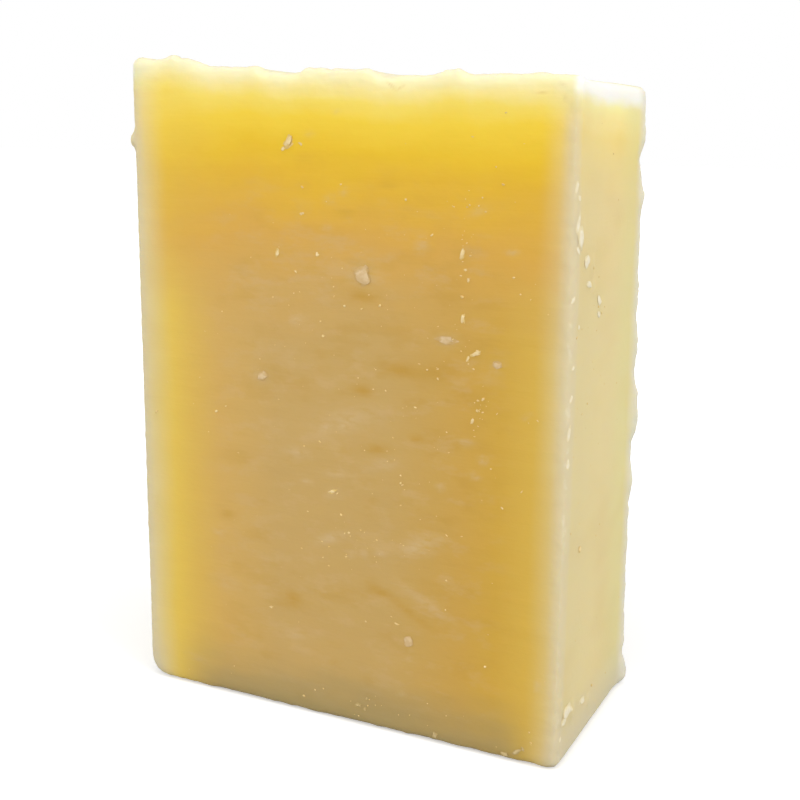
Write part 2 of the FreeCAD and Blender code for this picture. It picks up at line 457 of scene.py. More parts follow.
@dataclass(frozen=True)
class SoapFinish:
    """Cast soap: an amber core, yellow under its pale crest and paler at its dried walls, both partly painted
    glow.
    """

    name: str = "cast_soap"
    # Down the middle of the broad faces, in millimetres below the crest
    # The yellow band just under the crest is partly a painted glow of light that comes through it
    core: Stops = stops(
        (0.0, 240, 231, 197), (1.0, 253, 240, 186), (2.0, 254, 234, 154), (3.5, 249, 222, 101),
        (5.5, 246, 211, 62), (9.0, 237, 195, 42), (12.0, 230, 184, 50), (15.0, 225, 178, 64),
        (19.0, 220, 171, 76), (25.0, 215, 170, 86), (40.0, 202, 166, 101),
    )
    # In from the left and the right wall, in millimetres, well below the crest
    # Their paler yellow near the walls is partly a painted glow of light that comes through the walls
    left_in: Stops = stops(
        (0.0, 231, 200, 88), (5.0, 230, 196, 87), (8.0, 222, 184, 88), (12.0, 214, 174, 96),
        (20.0, 203, 168, 102),
    )
    right_in: Stops = stops(
        (0.0, 224, 190, 88), (4.5, 218, 179, 77), (8.0, 211, 169, 69), (12.0, 207, 165, 78),
        (16.0, 204, 165, 87), (22.0, 202, 167, 100),
    )
    # Down the narrow walls and the upright edges, in millimetres below the crest
    # Near white under the crest partly with painted light from above, over the dried rind's own cream
    rind: Stops = stops(
        (0.0, 248, 243, 208), (1.8, 254, 249, 204), (3.1, 254, 242, 169), (4.2, 252, 231, 158),
        (6.0, 245, 220, 143), (9.0, 239, 217, 151), (13.0, 234, 214, 157), (25.0, 230, 212, 158),
    )
    band: Colour = srgb(254, 253, 247)  # painted highlight along the top of the walls, just below the crest
    shaded: Colour = srgb(208, 196, 154)  # the walls near the front
    green: Colour = srgb(226, 219, 158)  # and near the rear
    ochre: Colour = srgb(194, 152, 62)
    blush: Colour = srgb(212, 180, 128)
    drag: Colour = srgb(215, 189, 144)  # soap dragged over the cut by the blade
    amber: Colour = srgb(194, 149, 50)  # clearer patches, which look deeper
    edge: Colour = srgb(217, 204, 172)  # soap that has dried along the upright edges
    bloom: Colour = srgb(234, 225, 200)  # and its thin broken crust
    rear: Colour = srgb(228, 222, 206)
    # painted shade towards the foot of the broad faces
    foot: Colour = srgb(167, 147, 98)
    # painted shade at the foot of the walls
    rind_foot_shade: Colour = srgb(208, 199, 174)
    rind_reach: float = 5.4  # in millimetres, in which the rind fades out
    roughness: float = 0.55
    dry_roughness: float = 0.80
    shine: float = 0.22
    subsurface: float = 0.25
    reach: Triple = (3.0, 2.0, 0.7)  # how far red, green and blue light travels, in mm

    def material(self, form: SlabForm) -> bpy.types.Material:
        """Builds the material.

        Args:
            form: where the slab's faces lie.

        Returns:
            The finished material.
        """
        g = Graph(bpy.data.materials.new(self.name))
        at = Spot.on(form, g)
        inset = g.line(g.fall(at.below, 8.0, 24.0), 0.25, 0.9)
        depth = g.math("MINIMUM", g.math("SUBTRACT", at.from_left, 0.2), g.math("ADD", at.from_right, inset))
        depth = g.uneven(depth, g.grain(at.place, (7, 7, 16), 3.0), 0.12, 0.25)
        pale = g.fall(depth, 0.0, self.rind_reach)
        colour = self._bloom(at, g.mix(pale, self._inner(at), self._rind(at)))

        dry = g.math("MAXIMUM", g.fall(at.below, 0.5, 5.0), pale)
        dull = g.line(dry, self.dry_roughness - self.roughness, self.roughness - 0.08)
        dull = g.line(g.grain(at.place, (3, 3, 1.5), 5.0, 3.0), 0.16, dull)
        drag = g.grain(at.place, (5.0, 5.0, 0.35), 31.0, 3.0)
        height = g.line(drag, 0.6, g.grain(at.place, (0.7, 0.7, 0.7), 35.0, 3.0))
        height = g.line(g.attribute(Tint.DRAG.value), 0.8, height)
        return g.finish(g.soap(height, 0.06, 0.35, {
            "Base Color": colour,
            "Roughness": dull,
            "Specular IOR Level": self.shine,
            "Subsurface Weight": self.subsurface,
            "Subsurface Radius": [length * MM for length in self.reach],
            "Subsurface Scale": 1.0,
        }))

    def _inner(self, at: Spot) -> Socket:
        """The soap inside its rind, partly painted glow, with level patches, the blade's marks and painted
        shade at its foot.

        Args:
            at: the place.

        Returns:
            The colour.
        """
        g = at.g
        # Partly painted glow: yellow under the crest and paler near the walls, for light that comes through
        # them
        right_half = g.rise(at.x, -7.0, 7.0)
        deep = g.mix(right_half, g.ramp(at.from_left, self.left_in), g.ramp(at.from_right, self.right_in))
        beside = g.times(g.fall(at.from_left, 3.0, 16.0), g.rise(at.below, 2.0, 9.0))
        deeper = g.math("MAXIMUM", g.rise(at.below, 14.0, 34.0), g.times(beside, 0.35))
        colour = g.mix(deeper, g.ramp(g.line(beside, -2.2, at.below), self.core), deep)
        inward = g.times(g.rise(at.from_left, 7.0, 18.0), g.rise(at.from_right, 5.0, 12.0))
        inner = g.times(g.rise(at.below, 8.0, 24.0), inward)
        patches = g.rise(g.grain(at.place, (6, 6, 2.6), 1.0, 3.0, 0.55), 0.50, 0.72)
        colour = g.lay(colour, self.ochre, patches, inner, 0.30)
        hazy = g.rise(g.grain(at.place, (4, 4, 1.8), 21.0, 4.0, 0.6), 0.48, 0.72)
        colour = g.lay(colour, self.blush, hazy, inner, 0.34)
        clear = g.rise(g.grain(at.place, (2.8, 2.8, 1.0), 45.0, 2.0), 0.15, 0.50)
        colour = g.lay(colour, self.amber, g.attribute(Tint.AMBER.value), clear)
        broken = g.rise(g.grain(at.place, (1.8, 1.8, 0.7), 41.0, 3.0, 0.6), 0.25, 0.60)
        colour = g.lay(colour, self.drag, g.attribute(Tint.DRAG.value), broken)
        # Painted shade towards the foot, less of it close to the walls
        height = g.math("ADD", at.z, g.line(g.grain(at.place, (12, 12, 4), 11.0), 5.0, -2.5))
        inside = g.math("MINIMUM", g.times(at.from_left, 0.6), at.from_right)
        return g.lay(colour, self.foot, g.fall(height, -1.5, 9.5), g.rise(inside, 1.0, 8.0))

    def _rind(self, at: Spot) -> Socket:
        """The dried rind of the walls, with faint patches, a painted highlight under the crest and painted
        shade near the front and at the foot.

        Args:
            at: the place.

        Returns:
            The colour.
        """
        g = at.g
        colour = g.lay(g.ramp(at.below, self.rind), self.shaded, g.fall(at.y, -13.0, 0.0), 0.25)
        colour = g.lay(colour, self.green, g.rise(at.y, 0.0, 9.0), 0.60)
        colour = g.lay(colour, self.ochre, g.rise(g.grain(at.place, (8, 12, 6), 51.0, 1.0), 0.40, 0.75), 0.10)
        # Painted highlight along the top of the walls, just below the crest
        colour = g.lay(colour, self.band, g.fall(at.below, 1.5, 2.9), g.fall(at.side, 0.1, 1.0))
        # Painted shade, greyer, at the foot of the walls
        return g.lay(colour, self.rind_foot_shade, g.fall(at.z, -1.0, 8.5), 0.9)

    def _bloom(self, at: Spot, colour: Socket) -> Socket:
        """Greys the upright edges, with a thin broken crust on the front ones, and the rear of the walls.

        Args:
            at: the place.
            colour: the colour so far.

        Returns:
            The colour with its dried edges.
        """
        g = at.g
        cut = g.times(at.from_front, g.line(g.fall(at.below, 4.0, 18.0), 1.2, 1.0))
        reach = g.reach(g.math("MAXIMUM", at.side, 0.0), cut)
        under = g.rise(at.below, 0.5, 6.0)
        colour = g.lay(colour, self.edge, g.fall(reach, 0.0, 2.1), under, 0.75)
        ragged = g.line(g.grain(at.place, (0.6, 0.6, 1.2), 15.0, 4.0), 0.8, -0.4)
        broken = g.rise(g.grain(at.place, (3, 3, 2.6), 17.0, 4.0, 0.65), 0.50, 0.60)
        crust = g.fall(g.math("ADD", reach, ragged), 0.20, 0.50)
        colour = g.lay(colour, self.bloom, crust, broken, under, 0.40)
        behind = g.uneven(at.from_back, g.grain(at.place, (5, 3, 5), 19.0, 3.0), 0.2, 0.3)
        return g.lay(colour, self.rear, g.fall(behind, 0.3, 4.5), g.fall(at.side, 0.5, 2.5), 0.85)


@dataclass(frozen=True)
class CrumbFinish:
    """Soap that came off in the cutting and has dried since. It thins out at its rim."""

    name: str
    pale: tuple[int, int, int]  # colours written as 0 to 255
    deep: tuple[int, int, int]
    rim: tuple[int, int, int]
    roughness: float = 0.7
    shine: float = 0.4

    def material(self) -> bpy.types.Material:
        """Builds the material.

        Returns:
            The finished material.
        """
        g = Graph(bpy.data.materials.new(self.name))
        place = g.place()
        mottled = g.rise(g.grain(place, (0.6, 0.6, 0.6), 2.0, 3.0), 0.35, 0.65)
        broken = g.grain(place, (0.5, 0.5, 0.5), 6.0, 2.0)
        heart = g.rise(g.line(broken, 0.4, g.attribute(HEART)), 0.2, 0.8)
        pale, deep, rim = srgb(*self.pale), srgb(*self.deep), srgb(*self.rim)
        colour = g.mix(heart, rim, g.mix(mottled, pale, deep))
        dull = g.line(g.grain(place, (0.4, 0.4, 0.4), 8.0), 0.2, self.roughness - 0.1)
        sockets = {"Base Color": colour, "Roughness": dull, "Specular IOR Level": self.shine}
        return g.finish(g.soap(g.grain(place, (0.3, 0.3, 0.3), 4.0), 0.05, 0.4, sockets))


# ---- the slab


class Zone(Enum):
    """A part of the slab's surface that is worked in its own way."""

    ALL = "all_over"
    CUT_FACES = "cut_faces"
    CREST = "crest"
    REAR_RIM = "rear_rim"
    EDGES = "edges"
    FOOT = "foot_edge"


@dataclass(frozen=True)
class Relief:
    """One layer of unevenness, pressed into a zone of the slab."""

    zone: Zone
    size: float  # of one lump, in millimetres
    height: float  # from its lowest to its highest, in millimetres
    stretch: Triple = (1.0, 1.0, 1.0)
    way: str = "NORMAL"
    level: float = 0.5  # the share of the height that stays in place
    layers: int = 2


@dataclass(frozen=True)
class Burr:
    """A small peak or nick in the crest."""

    across: float  # its place, as a share of the width from the left wall
    half_width: float  # in millimetres
    rise: float  # in millimetres; a nick has a negative one


@dataclass(frozen=True)
class Mark:
    """A soft mark that the blade left on the front. Its place is a share of the front's width and height."""

    across: float
    up: float
    length: float  # in millimetres
    breadth: float
    strength: float
    turn: float = 0.0  # degrees from level, anticlockwise
    tint: Tint = Tint.DRAG

    def weight(self, x: float, z: float) -> float:
        """How strong the mark is at a place.

        Args:
            x: how far right of its middle the place is, in millimetres.
            z: how far above it.

        Returns:
            A strength from 0 to 1.
        """
        lean = math.radians(self.turn)
        along = (x * math.cos(lean) + z * math.sin(lean)) / (0.5 * self.length)
        aside = (z * math.cos(lean) - x * math.sin(lean)) / (0.5 * self.breadth)
        return self.strength * math.exp(-MARK_FADE * (along * along + aside * aside))


@dataclass
class Slab:
    """The bar itself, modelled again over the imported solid."""

    form: SlabForm
    marks: tuple[Mark, ...]
    bar: Piece = field(init=False)
    finish: SoapFinish = field(default_factory=SoapFinish)
    voxel: float = 0.50 * MM
    merge: float = 0.001 * MM
    crest_reach: float = 3.2 * MM  # how far from the front top rim its raggedness goes
    rim_reach: float = 3.0 * MM  # and from the right rear rim
    edge_reach: float = 1.6 * MM
    foot_reach: float = 1.2 * MM
    line_step: float = 0.5 * MM  # between the points at which the crest's height is taken
    line_depth: float = 3.0 * MM  # behind the front, within which it is taken
    line_even: int = 2  # steps each way over which it is evened out
    torn: Pair = (7.0 * MM, 1.5 * MM)  # behind the front, where it counts from nothing to fully
    crest_rise: float = 0.2 * MM  # of the crest over the plain head
    burr_back: Pair = (3.0 * MM, 0.6 * MM)  # behind the front, where a burr ends and where it is full
    burr_down: Pair = (2.5 * MM, 0.5 * MM)  # and below the head
    cut_skin: Pair = (0.5 * MM, 0.1 * MM)  # inside a cut face, where its zone ends and where it is full
    foot_room: float = 2.0 * MM  # above the ground, where the broad unevenness fades in
    proud: float = 0.25 * MM  # by which the front half of the right wall may stand out
    skin: float = 0.6 * MM  # behind the front, where the blade's marks end
    reliefs: tuple[Relief, ...] = (
        Relief(Zone.ALL, size=15.0, height=0.16),
        Relief(Zone.CUT_FACES, size=1.1, height=0.05, stretch=(9.0, 1.0, 1.0)),
        Relief(Zone.CUT_FACES, size=2.4, height=0.06, stretch=(2.0, 1.0, 1.0), layers=3),
        Relief(Zone.EDGES, size=1.3, height=0.16, layers=3),
        Relief(Zone.CREST, size=1.9, height=0.45, way="Z", layers=3),
        Relief(Zone.CREST, size=1.0, height=0.10),
        Relief(Zone.REAR_RIM, size=1.7, height=0.45, way="X", layers=3),
        Relief(Zone.FOOT, size=2.6, height=0.45, way="Z", level=0.35, layers=3),
    )
    burrs: tuple[Burr, ...] = (
        Burr(0.098, 1.0, 0.12), Burr(0.122, 0.6, -0.25), Burr(0.306, 1.3, 0.10),
        Burr(0.328, 1.0, -0.62), Burr(0.425, 0.8, 0.35), Burr(0.472, 0.6, -0.25),
        Burr(0.590, 1.6, -0.44), Burr(0.748, 0.7, 0.32), Burr(0.940, 2.6, 0.10),
    )

    def build(self) -> Piece:
        """Models the slab.

        Returns:
            The finished piece.
        """
        self.bar = bar = add_object("soap_slab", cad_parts[SOLID].data.copy())
        bar.data.materials.clear()
        pick_only(bar)
        bpy.ops.object.mode_set(mode="EDIT")
        bpy.ops.mesh.select_all(action="SELECT")
        bpy.ops.mesh.remove_doubles(threshold=self.merge)
        bpy.ops.object.mode_set(mode="OBJECT")
        remesh = bar.modifiers.new("even_mesh", "REMESH")
        remesh.mode = "VOXEL"
        remesh.voxel_size = self.voxel
        remesh.use_smooth_shade = True
        apply_modifier(bar, remesh)
        self._wipe_crumbs()
        self._refine()
        self._mark_zones()
        for layer, relief in enumerate(self.reliefs):
            self._press(relief, layer)
        self._raise_burrs()
        keep_inside(bar)
        self._note_depth()
        self._note_marks()
        pick_only(bar)
        bpy.ops.object.shade_smooth()
        return bar

    def dress(self) -> None:
        """Gives the slab its soap and seats it on the solid that it stands for."""
        self.bar.data.materials.append(self.finish.material(self.form))
        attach(self.bar, BODY)
        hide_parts(SOLID)

    def _wipe_crumbs(self) -> None:
        """Presses the solid's plain crumbs back into their walls, which get finer ones."""
        for vertex in self.bar.data.vertices:
            place = vertex.co
            place.y = min(max(place.y, self.form.front), self.form.back - BACK_ROOM)
            if place.y < 0:
                place.x = min(place.x, self.form.right(place.z) + self.proud)

    def _refine(self) -> None:
        """Divides the faces near the ragged rims and the upright edges once more."""
        for face in self.bar.data.polygons:
            face.select = max(self._weights(face.center).values()) > 0
        pick_only(self.bar)
        bpy.ops.object.mode_set(mode="EDIT")
        bpy.ops.mesh.select_mode(type="FACE")
        bpy.ops.mesh.subdivide(number_cuts=1, smoothness=0.0)
        bpy.ops.object.mode_set(mode="OBJECT")

    def _weights(self, place: Vector) -> dict[Zone, float]:
        """How strongly each narrow zone holds a place on the slab.

        Args:
            place: a point on the surface.

        Returns:
            A weight from 0 to 1 for each zone along a rim or an edge.
        """
        form = self.form
        crest = off_edge(place.y - form.front, form.head_at(place.x) - place.z + self.crest_rise)
        rear = off_edge(form.back - place.y, form.right(place.z) - place.x)
        upright = off_edge(form.to_side(place), form.to_cut(place))
        foot = off_edge(place.z, min(form.to_side(place), form.to_cut(place)))
        return {
            Zone.CREST: smooth(crest, self.crest_reach, 0.3 * self.crest_reach),
            Zone.REAR_RIM: smooth(rear, self.rim_reach, 0.3 * self.rim_reach),
            Zone.EDGES: smooth(upright, self.edge_reach, 0.4 * self.edge_reach),
            Zone.FOOT: smooth(foot, self.foot_reach, 0.4 * self.foot_reach),
        }

    def _mark_zones(self) -> None:
        """Adds a vertex group for each zone."""
        groups = {zone: self.bar.vertex_groups.new(name=zone.value) for zone in Zone}
        for vertex in self.bar.data.vertices:
            index = [vertex.index]
            weights = self._weights(vertex.co)
            groups[Zone.ALL].add(index, smooth(vertex.co.z, 0.0, self.foot_room), "REPLACE")
            cut = smooth(self.form.to_cut(vertex.co), *self.cut_skin)
            groups[Zone.CUT_FACES].add(index, cut, "REPLACE")
            for zone, weight in weights.items():
                groups[zone].add(index, weight, "REPLACE")

    def _press(self, relief: Relief, layer: int) -> None:
        """Presses one layer of unevenness into its zone.

        Args:
            relief: the layer.
            layer: its number, which also moves its pattern to a part of its own.
        """
        pattern = bpy.data.textures.new(f"relief_{layer}", "CLOUDS")
        pattern.noise_scale = relief.size * MM
        pattern.noise_depth = relief.layers
        anchor = add_object(f"relief_place_{layer}", None)
        anchor.scale = relief.stretch
        anchor.location = (0.31 * layer, 0.17 * layer, -0.23 * layer)
        bpy.context.view_layer.update()
        press = self.bar.modifiers.new(f"relief_{layer}", "DISPLACE")
        press.texture = pattern
        press.texture_coords = "OBJECT"
        press.texture_coords_object = anchor
        press.direction = relief.way
        press.strength = relief.height * MM
        press.mid_level = relief.level
        press.vertex_group = relief.zone.value
        apply_modifier(self.bar, press)
        bpy.data.objects.remove(anchor)
        bpy.data.textures.remove(pattern)

    def _raise_burrs(self) -> None:
        """Draws the crest's small peaks up and its nicks down."""
        for vertex in self.bar.data.vertices:
            place = vertex.co
            hold = smooth(place.y - self.form.front, *self.burr_back)
            hold *= smooth(self.form.head_at(place.x) - place.z, *self.burr_down)
            if hold == 0:
                continue
            for burr in self.burrs:
                centre, _ = self.form.at(burr.across, 0)
                away = (place.x - centre) / (burr.half_width * MM)
                place.z += hold * burr.rise * MM * math.exp(-away * away)

    def _crest_line(self) -> list[float]:
        """Takes the crest's height along the front, evened out a little.

        Returns:
            One height for each step from the left wall.
        """
        steps = int((self.form.right_foot - self.form.left) / self.line_step) + 1
        line = [self.form.head] * steps
        for vertex in self.bar.data.vertices:
            step = round((vertex.co.x - self.form.left) / self.line_step)
            if 0 <= step < steps and vertex.co.y < self.form.front + self.line_depth:
                line[step] = max(line[step], vertex.co.z)
        near = range(-self.line_even, self.line_even + 1)
        return [
            sum(line[min(steps - 1, max(0, step + by))] for by in near) / len(near)
            for step in range(steps)
        ]

    def _note_depth(self) -> None:
        """Notes how many millimetres below the crest each point lies, for the finish."""
        line = self._crest_line()
        depth = self.bar.data.attributes.new(CREST_DEPTH, "FLOAT", "POINT")
        for vertex, noted in zip(self.bar.data.vertices, depth.data):
            place = vertex.co
            step = min(len(line) - 1, max(0, round((place.x - self.form.left) / self.line_step)))
            torn = smooth(place.y - self.form.front, *self.torn)
            top = torn * line[step] + (1 - torn) * self.form.head_at(place.x)
            noted.value = max(0.0, top - place.z) / MM

    def _note_marks(self) -> None:
        """Notes how strong the blade's marks are at each point of the front, for the finish."""
        for tint in Tint:
            noted = self.bar.data.attributes.new(tint.value, "FLOAT", "POINT")
            places = [(mark, *self.form.at(mark.across, mark.up)) for mark in self.marks if mark.tint is tint]
            for vertex, strength in zip(self.bar.data.vertices, noted.data):
                if vertex.co.y > self.form.front + self.skin:
                    continue
                left = 1.0
                for mark, x, z in places:
                    if abs(vertex.co.z - z) < mark.length * MM and abs(vertex.co.x - x) < mark.length * MM:
                        left *= 1 - mark.weight((vertex.co.x - x) / MM, (vertex.co.z - z) / MM)
                strength.value = 1 - left


# ---- crumbs and specks


def wander(place: Vector) -> Vector:
    """How far a point strays: smooth through space, each way from -1 to 1, and the same in every run."""
    return Vector([noise.noise(place + lag) for lag in LAGS])


class Wall(Enum):
    """The wall that a crumb is stuck to."""

    FRONT = "front"
    RIGHT = "right"
    BACK = "back"
    LEFT = "left"

    def pose(self, form: SlabForm, across: float, up: float) -> Matrix:
        """Where a crumb sits, with its own -Y pointing out of the wall.

        Args:
            form: where the slab's faces lie.
            across: share of the wall's width from its left, as it is seen from outside.
            up: share of the height from the foot.

        Returns:
            The place and turn of the crumb.
        """
        if self in (Wall.BACK, Wall.LEFT):
            across = 1 - across
        x, z = form.at(across, up)
        y, _ = form.along(across, up)
        place, quarters = {
            Wall.FRONT: ((x, form.front, z), 0),
            Wall.RIGHT: ((form.right(z), y, z), 1),
            Wall.BACK: ((x, form.back - BACK_ROOM, z), 2),
            Wall.LEFT: ((form.left, y, z), -1),
        }[self]
        return Matrix.Translation(place) @ Matrix.Rotation(quarters * math.pi / 2, 4, "Z")


@dataclass(frozen=True)
class Crumb:
    """One crumb stuck to a wall. Sizes are in millimetres."""

    across: float
    up: float
    length: float
    breadth: float
    turn: float = 0.0  # degrees from level, anticlockwise as the wall is seen
    wall: Wall = Wall.FRONT


class Skin:
    """The worn surface of the slab, as a crumb meets it when it is pressed on."""

    def __init__(self, slab: Piece, reach: float = 2.0 * MM) -> None:
        """Takes the slab's finished mesh.

        Args:
            slab: the slab.
            reach: how far off a plain wall the surface may be.
        """
        corners = [vertex.co for vertex in slab.data.vertices]
        self.tree = BVHTree.FromPolygons(corners, [face.vertices[:] for face in slab.data.polygons])
        self.reach = reach

    def height(self, place: Vector, out: Vector) -> float:
        """How far the surface stands out of a plain wall at a place; below zero where it is worn down."""
        hit, _, _, _ = self.tree.ray_cast(place + self.reach * out, -out, 2 * self.reach)
        return -self.reach if hit is None else (hit - place).dot(out)


@dataclass
class CrumbField:
    """Crumbs of one finish, each shaped by itself, joined into one piece."""

    name: str
    form: SlabForm
    skin: Skin  # of the slab that they are stuck to
    finish: CrumbFinish
    crumbs: tuple[Crumb, ...]
    facets: int = 3
    thickness: float = 0.22  # share of its breadth
    sunk: float = 0.35  # share of its thickness that lies inside the wall
    ragged: float = 0.55  # how far its surface strays, as a share of its breadth
    seed: int = 1
    give: float = 0.6 * MM  # how far a crumb bends to follow the surface
    crease: float = 40  # degrees, from which an edge looks sharp

    def build(self) -> Piece:
        """Models the crumbs.

        Returns:
            The joined piece.
        """
        bpy.ops.object.select_all(action="DESELECT")
        bpy.ops.mesh.primitive_ico_sphere_add(subdivisions=self.facets, radius=0.5)
        model = bpy.context.object
        pieces = [self._crumb(model.data, crumb, number) for number, crumb in enumerate(self.crumbs)]
        bpy.data.objects.remove(model)
        pick_only(*pieces)
        bpy.ops.object.join()
        joined = bpy.context.object
        joined.name = self.name
        bpy.ops.object.shade_smooth_by_angle(angle=math.radians(self.crease))
        return joined

    def dress(self, piece: Piece) -> None:
        """Gives the crumbs their finish and lets them ride on the bar.

        Args:
            piece: the joined crumbs.
        """
        piece.data.materials.append(self.finish.material())
        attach(piece, BODY)

    def _crumb(self, model: bpy.types.Mesh, crumb: Crumb, number: int) -> Piece:
        """Shapes one crumb and puts it on its wall.

        Args:
            model: a round model, 1 across.
            crumb: the crumb.
            number: its number in the field, which gives it a surface of its own.

        Returns:
            The crumb, with its place in its mesh.
        """
        piece = add_object(f"{self.name}_{number}", model.copy())
        heart = piece.data.attributes.new(HEART, "FLOAT", "POINT")
        thick = self.thickness * crumb.breadth
        middle = Vector((17.3 * number + self.seed, 4.1 * number, -9.7 * self.seed))
        for vertex, noted in zip(piece.data.vertices, heart.data):
            noted.value = 1 - 4 * (vertex.co.x**2 + vertex.co.z**2)
            stray = wander(LUMPS * vertex.co + middle) + GRAIN_SHARE * wander(GRAINS * vertex.co + middle)
            vertex.co += SWAY * self.ragged * stray
        stretch = Matrix.Diagonal((crumb.length * MM, thick * MM, crumb.breadth * MM, 1.0))
        pose = crumb.wall.pose(self.form, crumb.across, crumb.up)
        turn = Matrix.Rotation(-math.radians(crumb.turn), 4, "Y")
        lift = Matrix.Translation((0, -(0.5 - self.sunk) * thick * MM, 0))
        piece.data.transform(pose @ turn @ lift @ stretch)
        self._press(piece, pose)
        keep_inside(piece)
        return piece

    def _press(self, piece: Piece, pose: Matrix) -> None:
        """Makes a crumb follow the worn surface of the slab.

        Args:
            piece: the crumb, at its place on the plain wall.
            pose: that place.
        """
        out = pose.to_3x3() @ Vector((0, -1, 0))
        seat = self.skin.height(pose.translation, out)
        for vertex in piece.data.vertices:
            below = vertex.co - (vertex.co - pose.translation).dot(out) * out
            bend = self.skin.height(below, out) - seat
            vertex.co += (seat + max(-self.give, min(self.give, bend))) * out


@dataclass(frozen=True)
class Drift:
    """A patch of specks, spread about a place on a wall."""

    wall: Wall
    across: float
    up: float
    spread: Pair  # shares of the wall's width and height
    count: int
    size: Pair = (0.12, 0.50)  # smallest and largest, in millimetres


@dataclass
class SpeckField:
    """Strews specks over the walls, more of them where the blade dragged."""

    form: SlabForm
    drifts: tuple[Drift, ...]
    seed: int = 7
    rarity: float = 2.5  # the higher it is, the fewer large specks there are
    tilt: float = 30  # how far they turn from level, in degrees
    slim: Pair = (0.3, 0.9)  # least and most breadth, as a share of the length
    # From least to most across and up, so that none sits on a rim
    room: tuple[float, float, float, float] = (0.03, 0.97, 0.015, 0.97)

    def specks(self) -> tuple[Crumb, ...]:
        """Places every speck.

        Returns:
            The specks, as small crumbs.
        """
        dice = random.Random(self.seed)
        left, right, foot, head = self.room
        found = []
        for drift in self.drifts:
            for _ in range(drift.count):
                across = dice.gauss(drift.across, drift.spread[0])
                up = dice.gauss(drift.up, drift.spread[1])
                small, large = drift.size
                size = small + (large - small) * dice.random() ** self.rarity
                turn = dice.gauss(0, self.tilt)
                slim = dice.uniform(*self.slim)
                if left < across < right and foot < up < head:
                    found.append(Crumb(across, up, size, slim * size, turn, drift.wall))
        return tuple(found)


# ---- the studio


@dataclass(frozen=True)
class View:
    """The camera: where it looks, from how far and from which side."""

    aim: Triple = (1.32 * MM, 0.35 * MM, 38.17 * MM)
    distance: float = 157.16 * MM
    azimuth: float = 25.62
    elevation: float = 12.77
    roll: float = 0.72
    lens: float = 55.62
    clip: Pair = (10 * MM, 20.0)

    def place(self) -> None:
        """Adds the camera and makes it the scene's own."""
        data = bpy.data.cameras.new("view")
        data.lens = self.lens
        data.clip_start, data.clip_end = self.clip
        camera = add_object("view", data)
        stand_off(camera, Vector(self.aim), self.azimuth, self.elevation, self.distance, self.roll)
        bpy.context.scene.camera = camera


@dataclass(frozen=True)
class Lamp:
    """A soft square lamp that faces the bar."""

    name: str
    azimuth: float
    elevation: float
    distance: float
    side: float
    power: float

    def place(self, aim: Vector) -> None:
        """Adds the lamp.

        Args:
            aim: the point that it faces.
        """
        data = bpy.data.lights.new(self.name, "AREA")
        data.size = self.side
        data.energy = self.power
        stand_off(add_object(self.name, data), aim, self.azimuth, self.elevation, self.distance)


@dataclass
class Studio:
    """A plain pale floor, soft lamps and a white surround."""

    aim: Vector
    floor_side: float = 4.0
    surround: float = 0.40  # how strongly the world lights the bar
    lighting: Colour = (0.30, 0.30, 0.30, 1.0)  # the floor, as light from it meets the bar
    shown: Colour = (0.94, 0.94, 0.94, 1.0)  # and as it is seen
    glow: Pair = (0.34, 0.42)  # of the floor, under the bar and how much more far away
    glow_reach: Pair = (60.0, 400.0)  # in millimetres, where it starts to rise and where it ends
    lamps: tuple[Lamp, ...] = (
        Lamp("overhead", azimuth=40, elevation=72, distance=0.55, side=0.40, power=0.9),
        Lamp("right", azimuth=78, elevation=16, distance=0.60, side=0.45, power=2.30),
        Lamp("front", azimuth=-30, elevation=20, distance=0.80, side=0.60, power=3.69),
    )

    def build(self) -> None:
        """Adds the floor, the lamps, the surround and the colour management."""
        self._floor()
        for lamp in self.lamps:
            lamp.place(self.aim)
        self._surround()
        bpy.context.scene.view_settings.view_transform = "Standard"

    def _seen(self, g: Graph, *rays: str) -> Socket:
        """1 for the named kinds of ray, which show the background, and 0 for the others."""
        path = g.add("ShaderNodeLightPath")
        return g.join("MAXIMUM", *(path.outputs[f"Is {ray} Ray"] for ray in rays))

    def _floor(self) -> None:
        """Adds the floor, which shows white where it is lit and keeps the bar's shadow."""
        bpy.ops.object.select_all(action="DESELECT")
        bpy.ops.mesh.primitive_plane_add(size=self.floor_side)
        floor = bpy.context.object
        floor.name = "floor"
        g = Graph(bpy.data.materials.new("pale_floor"))
        seen = self._seen(g, "Camera", "Glossy", "Transmission")
        cloth = g.add("ShaderNodeBsdfDiffuse", {"Color": g.mix(seen, self.lighting, self.shown)})
        across, along, _ = g.split(g.place())
        away = g.reach(across, along)
        near, more = self.glow
        strength = g.times(seen, g.line(g.rise(away, *self.glow_reach), more, near))
        glow = g.add("ShaderNodeEmission", {"Strength": strength})
        both = g.add("ShaderNodeAddShader", {0: cloth.outputs[0], 1: glow.outputs[0]})
        floor.data.materials.append(g.finish(both))

    def _surround(self) -> None:
        """Sets the world: white to look at, and dimmer as a light."""
        g = Graph(bpy.data.worlds.new("surround"))
        strength = g.line(self._seen(g, "Camera", "Transmission"), 1 - self.surround, self.surround)
        sky = g.add("ShaderNodeBackground", {"Color": WHITE, "Strength": strength})
        bpy.context.scene.world = g.finish(sky, "ShaderNodeOutputWorld")


# ---- putting it together


def crumbs_on(wall: Wall, *rows: tuple[float, ...]) -> tuple[Crumb, ...]:
    """Makes the crumbs of one wall, from rows of their place, length, breadth and turn."""
    return tuple(Crumb(*row, wall=wall) for row in rows)


def marks_of(tint: Tint, *rows: tuple[float, ...]) -> tuple[Mark, ...]:
    """Makes the marks of one tint, from rows of their place, length, breadth, strength and turn."""
    return tuple(Mark(*row, tint=tint) for row in rows)


